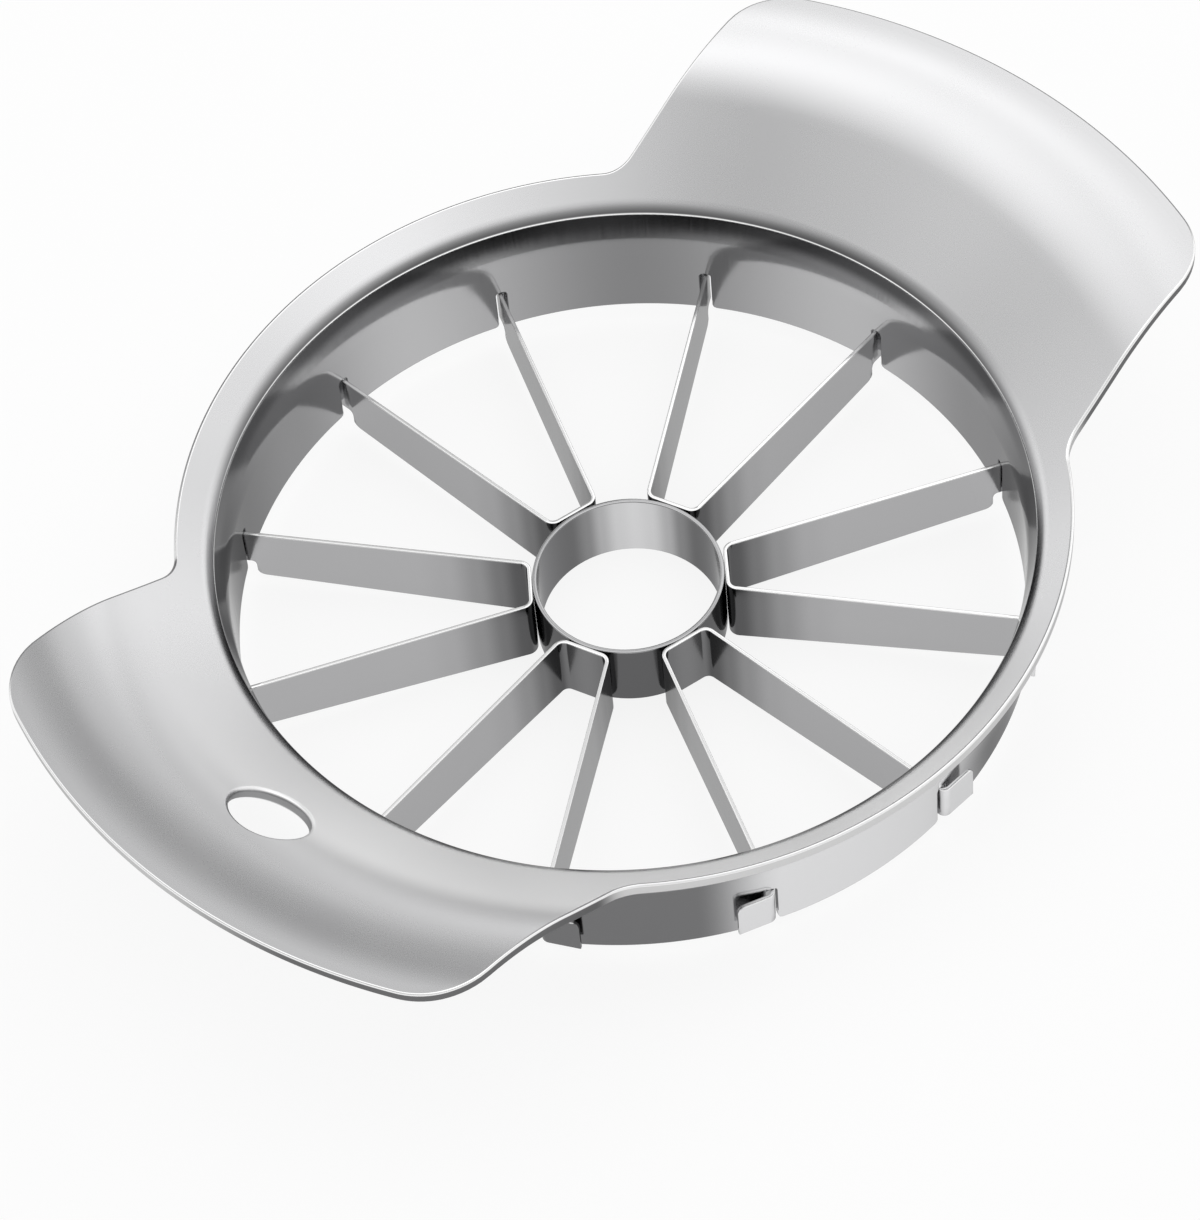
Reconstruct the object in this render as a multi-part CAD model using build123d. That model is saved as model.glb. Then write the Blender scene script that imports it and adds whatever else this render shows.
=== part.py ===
from build123d import *
import math
import os

os.makedirs("parts", exist_ok=True)

# A push-down apple slicer: a pressed sheet frame with two opposite wing handles and a drawn collar,
# six bent blade strips that make twelve blades, and a core ring in the middle.
# The collar's axis is Z, the wings lie along X, and z = 0 is the core ring's lower rim.

# Core ring, a short thin tube
core_outer_radius = 12.3
core_wall = 0.6
core_height = 10.0

# Blade strips: a web on the core ring, two legs, and a tab bent over outside the collar
strip_count = 6
first_strip_angle = 15.0
strip_thickness = 0.5
web_width = 6.7
web_bend_radius = 1.25
leg_spread_angle = 27.8
cutting_edge_rise = 1.7
tab_height = 5.6
tab_length = 4.9
tab_bend_angle = 87.0
tab_bend_radius = 0.8
tab_corner_radius = 1.1
heel_setback = 1.0
heel_radius = 1.0
nick_radius = 0.6
web_clearance = 0.03
tab_clearance = 0.3

# Collar, with a notch for each blade, open at its lower edge
collar_inner_radius = 50.5
collar_wall = 1.1
collar_height = 20.6
notch_width = 1.4
notch_depth = 6.8
notch_offset = 0.1
notch_corner_radius = 0.45
notch_mouth_radius = 0.6
notch_clearance = 0.2

# Rim: a steep shoulder leads from the collar's wall to the rim's bend, and a soft bevel from there to the cone
shoulder_width = 1.2
shoulder_height = 5.1
shoulder_radius = 12.0
rim_radius = 0.8
rim_inner_radius = 0.5
bevel_width = 1.1
bevel_slope = 46.0
bevel_radius = 6.0

# Flange and wings: a cone that rises outwards, a soft knee and a flat lip
sheet_thickness = 1.6
ring_width = 5.8
flange_slope = 35.0
wing_rise = 10.0
knee_radius = 26.0
wing_width = 74.4
wing_length = 24.1
wing_corner_radius = 10.0
wing_root_radius = 5.5

# Hanging hole in the wing at -X, square to the sheet
hang_hole_diameter = 10.5
hang_hole_offset = 6.8

# Room by which a cutter passes the face it leaves through
cutter_overrun = 3.0

slope = math.radians(flange_slope)
shoulder_lean = math.atan2(shoulder_width, shoulder_height)
core_inner_radius = core_outer_radius - core_wall
blade_top = core_height
tab_bottom = blade_top - tab_height
notch_top = blade_top + notch_clearance
collar_bottom = notch_top - notch_depth
collar_outer_radius = collar_inner_radius + collar_wall
ring_radius = collar_inner_radius + ring_width
ring_top = collar_bottom + collar_height
wing_radius = ring_radius + wing_length
lip_top = ring_top + wing_rise


def flangeHeight(radius):
    """Height of the cone's upper side at a distance from the collar's axis."""
    return ring_top + (radius - ring_radius) * math.tan(slope)


def sheetProfile():
    """Half section of collar, shoulder, cone, knee and lip, with x as the radius and y as the height."""
    rim_edge = collar_inner_radius + shoulder_width
    bevel_edge = rim_edge + bevel_width
    rim_height = flangeHeight(bevel_edge) - bevel_width * math.tan(math.radians(bevel_slope))
    shoulder_foot = rim_height - shoulder_height
    knee_upper = ring_radius + wing_rise / math.tan(slope)
    upper = FilletPolyline(
        (collar_inner_radius, collar_bottom),
        (collar_inner_radius, shoulder_foot),
        (rim_edge, rim_height),
        (bevel_edge, flangeHeight(bevel_edge)),
        (knee_upper, lip_top),
        (wing_radius, lip_top),
        radius=[shoulder_radius, rim_radius, bevel_radius, knee_radius],
    )

    # The outer and lower sides lie one wall or one sheet away from the upper ones
    drop = sheet_thickness / math.cos(slope)
    knee_lower = knee_upper + (drop - sheet_thickness) / math.tan(slope)
    wall_across = collar_wall / math.cos(shoulder_lean)
    lean = math.tan(shoulder_lean)
    outer_foot = shoulder_foot + (collar_wall - wall_across) / lean
    rise_to_cone = flangeHeight(rim_edge + wall_across) - drop - rim_height
    outer_edge_rise = rise_to_cone / (1 - math.tan(slope) * lean)
    outer_edge = (rim_edge + wall_across + outer_edge_rise * lean, rim_height + outer_edge_rise)
    lower = FilletPolyline(
        (collar_outer_radius, collar_bottom),
        (collar_outer_radius, outer_foot),
        outer_edge,
        (knee_lower, lip_top - sheet_thickness),
        (wing_radius, lip_top - sheet_thickness),
        radius=[shoulder_radius - collar_wall, rim_inner_radius, knee_radius - sheet_thickness],
    )
    foot = Line(upper @ 0, lower @ 0)
    end = Line(upper @ 1, lower @ 1)
    return make_face(upper.edges() + lower.edges() + foot.edges() + end.edges())


def planOutline():
    """Outline of the frame from above: the ring with two opposite wings that have straight sides."""
    wing_circle = Rot(0, 0, 90) * Circle(wing_radius)
    wings = wing_circle & Rectangle(2 * wing_radius, wing_width)
    outline = Circle(ring_radius) + wings
    middle = (ring_radius + wing_radius) / 2
    corners = [v for v in outline.vertices() if Vector(v.X, v.Y).length > middle]
    outline = fillet(corners, wing_corner_radius)
    roots = [v for v in outline.vertices() if abs(Vector(v.X, v.Y).length - ring_radius) < strip_thickness]
    return fillet(roots, wing_root_radius)


def legPoint(radius):
    """Where the middle line of a strip's left leg is at a distance from the collar's axis."""
    half_spread = math.radians(leg_spread_angle / 2)
    start = Vector(core_outer_radius + web_clearance + strip_thickness / 2, web_width / 2)
    direction = Vector(math.cos(half_spread), math.sin(half_spread))
    along = start.dot(direction)
    travel = math.sqrt(along**2 - start.dot(start) + radius**2) - along
    return start + direction * travel


def notchCutter(side):
    """Cutter for the notch of a strip's left (side 1) or right (side -1) leg."""
    middle_radius = (collar_inner_radius + collar_outer_radius) / 2
    crossing = legPoint(middle_radius)
    angle = side * math.degrees(math.atan2(crossing.Y, crossing.X))
    slot_height = notch_depth + cutter_overrun
    slot = Pos(0, notch_top - slot_height / 2) * Rectangle(notch_width, slot_height)
    slot = fillet(slot.vertices().group_by(Axis.Y)[-1], notch_corner_radius)
    mouth_width = notch_width + 4 * notch_mouth_radius
    mouth = Pos(0, collar_bottom - cutter_overrun / 2) * Rectangle(mouth_width, cutter_overrun)
    shape = slot + mouth
    inner = [v for v in shape.vertices() if abs(v.Y - collar_bottom) < 0.1 * notch_mouth_radius]
    inner = [v for v in inner if abs(v.X) < notch_width]
    shape = fillet(inner, notch_mouth_radius)
    depth = collar_wall + cutter_overrun
    across = Plane(origin=(middle_radius - depth / 2, side * notch_offset, 0), x_dir=(0, 1, 0), z_dir=(1, 0, 0))
    return Rot(0, 0, angle) * extrude(across * shape, amount=depth)


def hangHoleCutter():
    """Cylinder square to the cone of the wing at -X."""
    radius = ring_radius + hang_hole_offset
    centre = (-radius, 0, flangeHeight(radius))
    square = Plane(origin=centre, z_dir=(math.sin(slope), 0, math.cos(slope)))
    length = 2 * (sheet_thickness + cutter_overrun)
    return square * Cylinder(hang_hole_diameter / 2, length)


def makeFrame():
    """The pressed sheet: collar, flange and wings in one piece."""
    body = revolve(Plane.XZ * sheetProfile(), Axis.Z, 360)
    body &= extrude(planOutline(), amount=lip_top + cutter_overrun)
    for index in range(strip_count):
        turn = Rot(0, 0, stripAngle(index))
        for side in (1, -1):
            body -= turn * notchCutter(side)
    return body - hangHoleCutter()


def stripAngle(index):
    return first_strip_angle + index * 360 / strip_count


def stripPath():
    """Middle line of a bent strip from above: tab, leg, web, leg and tab, with its web across +X."""
    web_end = Vector(core_outer_radius + web_clearance + strip_thickness / 2, web_width / 2)
    tab_start = legPoint(collar_outer_radius + tab_clearance + strip_thickness / 2)
    tab_direction = math.radians(leg_spread_angle / 2 + tab_bend_angle)
    tab_end = tab_start + Vector(math.cos(tab_direction), math.sin(tab_direction)) * tab_length
    half = [web_end, tab_start, tab_end]
    mirrored = [Vector(point.X, -point.Y) for point in reversed(half)]
    bends = [tab_bend_radius, web_bend_radius, web_bend_radius, tab_bend_radius]
    return FilletPolyline(*mirrored, *half, radius=bends), tab_end


def stripSide():
    """Side outline of a strip, with x as the distance along its middle and y as the height."""
    heel = legPoint(collar_inner_radius).X - heel_setback
    far = wing_radius
    outline = Polyline(
        (0, 0),
        (core_outer_radius + web_bend_radius, 0),
        (heel, cutting_edge_rise),
        (heel, tab_bottom),
        (far, tab_bottom),
        (far, blade_top),
        (0, blade_top),
        close=True,
    )
    side = make_face(outline)
    side = fillet(side.vertices().sort_by_distance((heel, cutting_edge_rise))[0], heel_radius)
    return fillet(side.vertices().sort_by_distance((heel, tab_bottom))[0], nick_radius)


def makeStrip():
    """One blade strip, with its web across +X."""
    path, tab_end = stripPath()
    strip = extrude(trace(path, strip_thickness), amount=blade_top)
    strip &= extrude(Plane.XZ * stripSide(), amount=wing_width, both=True)
    for side in (1, -1):
        corner = (tab_end.X, side * tab_end.Y, blade_top)
        strip = fillet(strip.edges().sort_by_distance(corner)[0], tab_corner_radius)
    return strip


def makeCoreRing():
    tube = Circle(core_outer_radius) - Circle(core_inner_radius)
    return extrude(tube, amount=core_height)


def save(shape, name):
    export_step(shape, f"parts/{name}.step")


save(makeFrame(), "frame")
save(makeCoreRing(), "core_ring")
strip = makeStrip()
for index in range(strip_count):
    save(Rot(0, 0, stripAngle(index)) * strip, f"blade_strip_{index + 1}")
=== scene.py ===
import math

import bpy
import numpy as np
from mathutils import Matrix, Vector


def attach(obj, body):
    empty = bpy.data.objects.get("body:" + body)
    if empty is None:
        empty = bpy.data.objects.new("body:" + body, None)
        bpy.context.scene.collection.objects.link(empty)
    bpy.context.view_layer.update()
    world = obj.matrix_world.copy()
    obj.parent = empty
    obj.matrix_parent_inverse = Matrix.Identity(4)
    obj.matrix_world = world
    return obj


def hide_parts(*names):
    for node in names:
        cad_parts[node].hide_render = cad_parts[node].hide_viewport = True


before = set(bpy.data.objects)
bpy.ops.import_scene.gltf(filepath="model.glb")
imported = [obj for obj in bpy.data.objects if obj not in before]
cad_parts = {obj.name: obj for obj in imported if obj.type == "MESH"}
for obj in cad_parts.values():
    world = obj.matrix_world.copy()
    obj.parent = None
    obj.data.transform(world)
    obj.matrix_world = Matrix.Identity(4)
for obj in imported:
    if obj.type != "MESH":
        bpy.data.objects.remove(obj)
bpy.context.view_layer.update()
mm = 0.001

# what a row of a node table can make: the node, its settings, and the inputs that the row fills in order
recipes = {
    "blend": ("ShaderNodeMix", {"data_type": "RGBA"}, (0, 6, 7)),
    "mixedValue": ("ShaderNodeMix", {"data_type": "FLOAT"}, (0, 2, 3)),
    "fade": ("ShaderNodeMapRange", {"interpolation_type": "SMOOTHSTEP"}, ("Value", "From Min", "From Max")),
    "evenFade": ("ShaderNodeMapRange", {}, ("Value", "From Min", "From Max")),
    "vector": ("ShaderNodeCombineXYZ", {}, ("X", "Y", "Z")),
    "scaled": ("ShaderNodeVectorMath", {"operation": "SCALE"}, (0, "Scale")),
    "relief": ("ShaderNodeBump", {}, ("Strength", "Distance", "Height")),
}
for recipe, kind, operation in (
        ("sum", "Math", "ADD"), ("difference", "Math", "SUBTRACT"), ("product", "Math", "MULTIPLY"),
        ("quotient", "Math", "DIVIDE"), ("larger", "Math", "MAXIMUM"), ("isAbove", "Math", "GREATER_THAN"),
        ("sine", "Math", "SINE"), ("cosine", "Math", "COSINE"), ("arccosine", "Math", "ARCCOSINE"),
        ("direction", "Math", "ARCTAN2"), ("size", "Math", "ABSOLUTE"),
        ("moved", "VectorMath", "ADD"), ("stretched", "VectorMath", "MULTIPLY"),
        ("squareTo", "VectorMath", "CROSS_PRODUCT"), ("unit", "VectorMath", "NORMALIZE"),
        ("length", "VectorMath", "LENGTH"), ("towards", "VectorMath", "DOT_PRODUCT")):
    recipes[recipe] = ("ShaderNode" + kind, {"operation": operation}, (0, 1))


def linearColor(hexText):
    channels = [int(hexText[i:i + 2], 16) / 255 for i in (0, 2, 4)]
    return [c / 12.92 if c <= 0.04045 else ((c + 0.055) / 1.055) ** 2.4 for c in channels] + [1.0]


def fillInputs(tree, node, inputs):
    # inputs are values, sockets, or nodes, whose first active output is used
    for key, value in inputs.items():
        if isinstance(value, bpy.types.Node):
            value = next(output for output in value.outputs if output.enabled)
        if isinstance(value, bpy.types.NodeSocket):
            tree.links.new(value, node.inputs[key])
        else:
            node.inputs[key].default_value = value


def addNode(tree, kind, settings=None, inputs=None):
    node = tree.nodes.new(kind)
    for name, value in (settings or {}).items():
        setattr(node, name, value)
    fillInputs(tree, node, inputs or {})
    return node


def addRows(tree, parts, rows):
    # each row is a name, a recipe and its inputs, which are values or the names of earlier parts
    for name, recipe, *given in rows:
        kind, settings, keys = recipes[recipe]
        inputs = {key: parts[value] if isinstance(value, str) else value for key, value in zip(keys, given)}
        parts[name] = addNode(tree, kind, settings, inputs)


def linked(name, data):
    # a new object in the scene, at the origin
    piece = bpy.data.objects.new(name, data)
    bpy.context.scene.collection.objects.link(piece)
    return piece


def applied(piece, name):
    # turns the evaluated shape into a plain mesh object and drops the modifiers
    evaluated = piece.evaluated_get(bpy.context.evaluated_depsgraph_get())
    mesh = bpy.data.meshes.new_from_object(evaluated)
    mesh.name = name
    bpy.data.objects.remove(piece)
    return linked(name, mesh)


def smoothed(piece, name, broadWeight=80):
    # plain mesh with smooth faces, where the broad faces keep their own direction
    result = applied(piece, name)
    result.data.polygons.foreach_set("use_smooth", [True] * len(result.data.polygons))
    weighted = result.modifiers.new("broadFaces", "WEIGHTED_NORMAL")
    weighted.weight, weighted.keep_sharp = broadWeight, False
    return applied(result, name)


# Pressed sheet: collar, rim, cone, knee and lip
sheet = {  # mm and degrees
    "wallRadius": 50.5, "wallThickness": 1.1, "wallBottom": 3.4, "wallJointRise": 2.5,
    "shoulderWidth": 1.2, "shoulderHeight": 5.1, "shoulderRadius": 12.0,
    "rimRadius": 0.8, "rimInnerRadius": 0.5, "bevelWidth": 1.1, "bevelSlope": 46.0, "bevelRadius": 6.0,
    "slope": 35.0, "ringRadius": 56.3, "ringTop": 24.0, "kneeRadius": 26.0, "lipTop": 34.0,
    "thickness": 1.6,
    "wingWidth": 74.4, "wingRadius": 80.4, "cornerRadius": 10.0, "rootRadius": 5.5,
    "edgeRound": 0.30, "footRound": 0.22,
    "notchWidth": 1.4, "notchTop": 10.2, "notchCorner": 0.45, "notchMouth": 0.6,
    "notchPairs": 6, "notchSpread": 14.3, "notchPairTurn": 15.0,
    "holeDistance": 63.1, "holeDiameter": 10.3, "holeRound": 0.6, "holeBlock": 6.4,
    "nearSide": (-0.69, -0.72),  # the way in plan that marks edges as near
    "steps": {  # how finely each stretch is divided, and shares of the way for the uneven ones
        "shoulder": 4, "rim": 4, "bevel": 3, "underRim": 8, "flange": 27, "edge": 5, "side": 4,
        "foot": 3, "notch": 6, "betweenNotches": 60, "holeEdge": 4, "holeColumns": 14,
        "wallShares": (0.2, 0.45, 0.7, 1.0), "holeShares": (0.2, 0.4, 0.6, 0.78, 0.92, 1.0),
    },
}
sheetSteps = sheet["steps"]


def coneHeight(radius):
    return sheet["ringTop"] + (radius - sheet["ringRadius"]) * math.tan(math.radians(sheet["slope"]))


slopeSin = math.sin(math.radians(sheet["slope"]))
slopeCos = math.cos(math.radians(sheet["slope"]))
kneeCentre = sheet["ringRadius"] + slopeSin * sheet["kneeRadius"] + (
    sheet["lipTop"] - sheet["kneeRadius"] * (1 - slopeCos) - sheet["ringTop"]) * slopeCos / slopeSin


def flangeSurface(x, y, depth=0.0):
    # point and upward normal of the cone, knee or lip above a place in plan, at a depth below the top
    radius = math.hypot(x, y)
    bend = sheet["kneeRadius"] - depth
    if radius < kneeCentre - bend * slopeSin:
        height, nr, nz = coneHeight(radius) - depth / slopeCos, -slopeSin, slopeCos
    elif radius < kneeCentre:
        nr = (radius - kneeCentre) / bend
        nz = math.sqrt(1 - nr * nr)
        height = sheet["lipTop"] - sheet["kneeRadius"] + bend * nz
    else:
        height, nr, nz = sheet["lipTop"] - depth, 0.0, 1.0
    return np.array([x, y, height]), np.array([nr * x / radius, nr * y / radius, nz])


def roundedProfile(corners, radii, steps, side):
    # rows of radius, height and facing along a line whose corners all turn to the right
    rows = []
    for before, corner, after, radius, count in zip(corners, corners[1:], corners[2:], radii, steps):
        into, away = np.array(corner) - before, np.array(after) - corner
        turnFrom = math.atan2(into[1], into[0])
        turnTo = math.atan2(away[1], away[0])
        setback = radius * math.tan((turnFrom - turnTo) / 2)
        direction = into / np.linalg.norm(into)
        centre = corner - direction * setback + np.array([direction[1], -direction[0]]) * radius
        for i in range(count + 1):
            turn = turnFrom + (turnTo - turnFrom) * i / count
            left = np.array([-math.sin(turn), math.cos(turn)])
            rows.append((*(centre + left * radius), *(left * side)))
    return rows


def shoulderRows():
    # the wall's upper part, the shoulder and the rim, on the inner and on the outer side
    wall, thick = sheet["wallRadius"], sheet["wallThickness"]
    joint = sheet["notchTop"] + sheet["wallJointRise"]
    rim = wall + sheet["shoulderWidth"]
    bevel = rim + sheet["bevelWidth"]
    rimHeight = coneHeight(bevel) - sheet["bevelWidth"] * math.tan(math.radians(sheet["bevelSlope"]))
    foot = rimHeight - sheet["shoulderHeight"]
    lean = math.atan2(sheet["shoulderWidth"], sheet["shoulderHeight"])
    onCone = 5  # mm along the cone, only to give the last corner its direction
    inner = [(wall, joint), (wall, foot), (rim, rimHeight), (bevel, coneHeight(bevel)),
             (bevel + onCone, coneHeight(bevel + onCone))]
    drop = sheet["thickness"] / slopeCos
    across = thick / math.cos(lean)
    outerFoot = foot + (thick - across) / math.tan(lean)
    rise = (coneHeight(rim + across) - drop - rimHeight) / (1 - slopeSin / slopeCos * math.tan(lean))
    corner = rim + across + rise * math.tan(lean)
    outer = [(wall + thick, joint), (wall + thick, outerFoot), (corner, rimHeight + rise),
             (corner + onCone, coneHeight(corner + onCone) - drop)]
    innerRadii = (sheet["shoulderRadius"], sheet["rimRadius"], sheet["bevelRadius"])
    outerRadii = (sheet["shoulderRadius"] - thick, sheet["rimInnerRadius"])
    innerSteps = (sheetSteps["shoulder"], sheetSteps["rim"], sheetSteps["bevel"])
    outerSteps = (sheetSteps["shoulder"], sheetSteps["underRim"])
    return (roundedProfile(inner, innerRadii, innerSteps, 1),
            roundedProfile(outer, outerRadii, outerSteps, -1))


shoulderInner, shoulderOuter = shoulderRows()

# rows of the section: wall, shoulder and rim, flange, rounded edge, and the flange's lower side
flangeSteps, edgeSteps = sheetSteps["flange"], sheetSteps["edge"]
firstRim = len(sheetSteps["wallShares"]) + sheetSteps["shoulder"] + 1
firstFlange = len(sheetSteps["wallShares"]) + len(shoulderInner)
firstEdge = firstFlange + flangeSteps - 1
firstUnder = firstEdge + 2 * (edgeSteps + 1)


def underRow(row):
    # the row of the lower side that lies below a flange row of the upper side
    return firstUnder + firstEdge - 1 - row


def outlineAt(turn):
    # where the frame's outline lies in a direction, and which way it faces there
    wingTurn = math.radians((turn + 90) % 180 - 90)
    sign = 1 if wingTurn >= 0 else -1
    phi = abs(wingTurn)
    half = sheet["wingWidth"] / 2
    corner, root = sheet["cornerRadius"], sheet["rootRadius"]
    cornerV = half - corner
    cornerU = math.sqrt((sheet["wingRadius"] - corner) ** 2 - cornerV ** 2)
    rootV = half + root
    rootU = math.sqrt((sheet["ringRadius"] + root) ** 2 - rootV ** 2)
    ray = np.array([math.cos(phi), math.sin(phi)])
    if phi <= math.atan2(cornerV, cornerU):
        radius, facing = sheet["wingRadius"], ray
    elif phi <= math.atan2(half, cornerU):
        centre = np.array([cornerU, cornerV])
        along = ray @ centre
        radius = along + math.sqrt(along ** 2 - centre @ centre + corner ** 2)
        facing = (ray * radius - centre) / corner
    elif phi <= math.atan2(half, rootU):
        radius, facing = half / ray[1], np.array([0.0, 1.0])
    elif phi <= math.atan2(rootV, rootU):
        centre = np.array([rootU, rootV])
        along = ray @ centre
        radius = along - math.sqrt(max(along ** 2 - centre @ centre + root ** 2, 0))
        facing = (centre - ray * radius) / root
    else:
        radius, facing = sheet["ringRadius"], ray
    # back from the wing's own quarter to the whole plan
    base = math.radians(turn) - wingTurn
    facing = np.array([facing[0], facing[1] * sign])
    turned = np.array([facing[0] * math.cos(base) - facing[1] * math.sin(base),
                       facing[0] * math.sin(base) + facing[1] * math.cos(base)])
    return radius, turned


def notchOutline(step):
    # lower outline of the collar, counted in columns from a notch's middle:
    # sideways place, height and the way the edge faces, as sideways and height
    half, corner, mouth = sheet["notchWidth"] / 2, sheet["notchCorner"], sheet["notchMouth"]
    top, bottom = sheet["notchTop"], sheet["wallBottom"]
    d = math.sqrt(0.5)
    places = [
        (0, top, 0, -1),
        (half - corner, top, 0, -1),
        (half - corner + corner * d, top - corner + corner * d, -d, -d),
        (half, top - corner, -1, 0),
        (half, bottom + mouth, -1, 0),
        (half + mouth * (1 - d), bottom + mouth * (1 - d), -d, -d),
        (half + mouth, bottom, 0, -1),
    ]
    x, z, fx, fz = places[abs(step)]
    return (x, z, fx, fz) if step >= 0 else (-x, z, -fx, fz)


def edgeRoll(point, first, last, size, steps):
    # points and normals of a rounded edge between two faces that meet at point
    turn = math.acos(max(-1.0, min(1.0, first @ last)))
    centre = point - (first + last) * size / (1 + first @ last)
    rows = []
    for i in range(steps + 1):
        facing = first * math.sin(turn * (1 - i / steps)) + last * math.sin(turn * i / steps)
        facing /= math.sin(turn)
        rows.append((centre + facing * size, facing))
    return rows


def sheetColumn(turn, foot):
    # one closed loop of points and normals round the sheet's section, in mm
    a = math.radians(turn)
    er = np.array([math.cos(a), math.sin(a), 0.0])
    ez = np.array([0.0, 0.0, 1.0])
    footTurn = a + foot[0] / sheet["wallRadius"]
    fr = np.array([math.cos(footTurn), math.sin(footTurn), 0.0])
    ft = np.array([-math.sin(footTurn), math.cos(footTurn), 0.0])
    footOut = ft * foot[2] + ez * foot[3]
    wall, joint = sheet["wallRadius"], sheet["notchTop"] + sheet["wallJointRise"]
    outer = wall + sheet["wallThickness"]
    soft = sheet["footRound"]

    def wallRows(radius, facing, profile):
        start = np.array([footTurn, foot[1]]) - np.array([foot[2] / wall, foot[3]]) * soft
        rows = []
        for f in sheetSteps["wallShares"]:
            t, z = start + (np.array([a, joint]) - start) * f
            direction = np.array([math.cos(t), math.sin(t), 0.0])
            rows.append((direction * radius + ez * z, direction * facing))
        return rows + [(er * r + ez * z, er * nr + ez * nz) for r, z, nr, nz in profile]

    radius, facing = outlineAt(turn)
    facing = np.append(facing, 0.0)
    edge, up = flangeSurface(er[0] * radius, er[1] * radius)
    lower, down = flangeSurface(er[0] * radius, er[1] * radius, sheet["thickness"])
    upperRoll = edgeRoll(edge, up, facing, sheet["edgeRound"], edgeSteps)
    lowerRoll = edgeRoll(lower, facing, -down, sheet["edgeRound"], edgeSteps)

    def flangeRows(start, end, depth, sign):
        rows = []
        for i in range(1, flangeSteps):
            x, y = start + (end - start) * i / flangeSteps
            p, n = flangeSurface(x, y, depth)
            rows.append((p, n * sign))
        return rows

    upper = wallRows(wall, -1, shoulderInner)
    upper += flangeRows(upper[-1][0][:2], upperRoll[0][0][:2], 0.0, 1)
    under = wallRows(outer, 1, shoulderOuter)
    under += flangeRows(under[-1][0][:2], lowerRoll[-1][0][:2], sheet["thickness"], -1)
    loop = upper + upperRoll + lowerRoll + under[::-1]
    loop += edgeRoll(fr * outer + ez * foot[1], fr, footOut, soft, sheetSteps["foot"])
    loop += edgeRoll(fr * wall + ez * foot[1], footOut, -fr, soft, sheetSteps["foot"])
    return loop


def sheetColumns():
    # columns run evenly from notch to notch, and each is one loop round the sheet's section
    spacing = 360 / sheet["notchPairs"]
    notches = sorted((sheet["notchPairTurn"] + spacing * i + s * sheet["notchSpread"]) % 360
                     for i in range(sheet["notchPairs"]) for s in (-1, 1))
    between, reach = sheetSteps["betweenNotches"], sheetSteps["notch"]
    turns, columns = [], []
    for turn, following in zip(notches, notches[1:] + [notches[0] + 360]):
        for k in range(between):
            here = turn + (following - turn) * k / between
            if k <= reach:
                x, z, fx, fz = notchOutline(k)
                foot = (x - math.radians(here - turn) * sheet["wallRadius"], z, fx, fz)
            elif k >= between - reach:
                x, z, fx, fz = notchOutline(k - between)
                foot = (x + math.radians(following - here) * sheet["wallRadius"], z, fx, fz)
            else:
                foot = (0.0, sheet["wallBottom"], 0.0, -1.0)
            turns.append(here)
            columns.append(sheetColumn(here, foot))
    points = np.array([[p for p, n in loop] for loop in columns])
    normals = np.array([[n for p, n in loop] for loop in columns])
    return np.array(turns), points, normals


def holeLadder(starts):
    # rings of points and normals that narrow to the hanging hole, go through it and widen again below
    holeTop = np.array([-sheet["holeDistance"], 0.0, coneHeight(sheet["holeDistance"])])
    alongSlope = np.array([-slopeCos, 0.0, slopeSin])
    across = np.array([0.0, 1.0, 0.0])
    soft, thick = sheet["holeRound"], sheet["thickness"]
    upper, lower, rolls = [], [], []
    for f in sheetSteps["holeShares"]:
        upper.append([])
        lower.append([])
        for start in starts:
            p = start - holeTop
            place = np.array([p @ alongSlope, p @ across])
            goal = place / math.hypot(*place) * (sheet["holeDiameter"] / 2 + soft)
            u, v = place * (1 - f) + goal * f
            plan = holeTop + alongSlope * u + across * v
            q, n = flangeSurface(plan[0], plan[1])
            upper[-1].append((q, n))
            lower[-1].append((q - n * thick, -n))
    for q, n in upper[-1]:
        toCentre = holeTop - q
        toCentre -= n * (toCentre @ n)
        toCentre /= np.linalg.norm(toCentre)
        edge = q + toCentre * soft
        steps = sheetSteps["holeEdge"]
        rolls.append(edgeRoll(edge, n, toCentre, soft, steps)[1:]
                     + edgeRoll(edge - n * thick, toCentre, -n, soft, steps)[:-1])
    return upper + [list(ring) for ring in zip(*rolls)] + lower[::-1]


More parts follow.
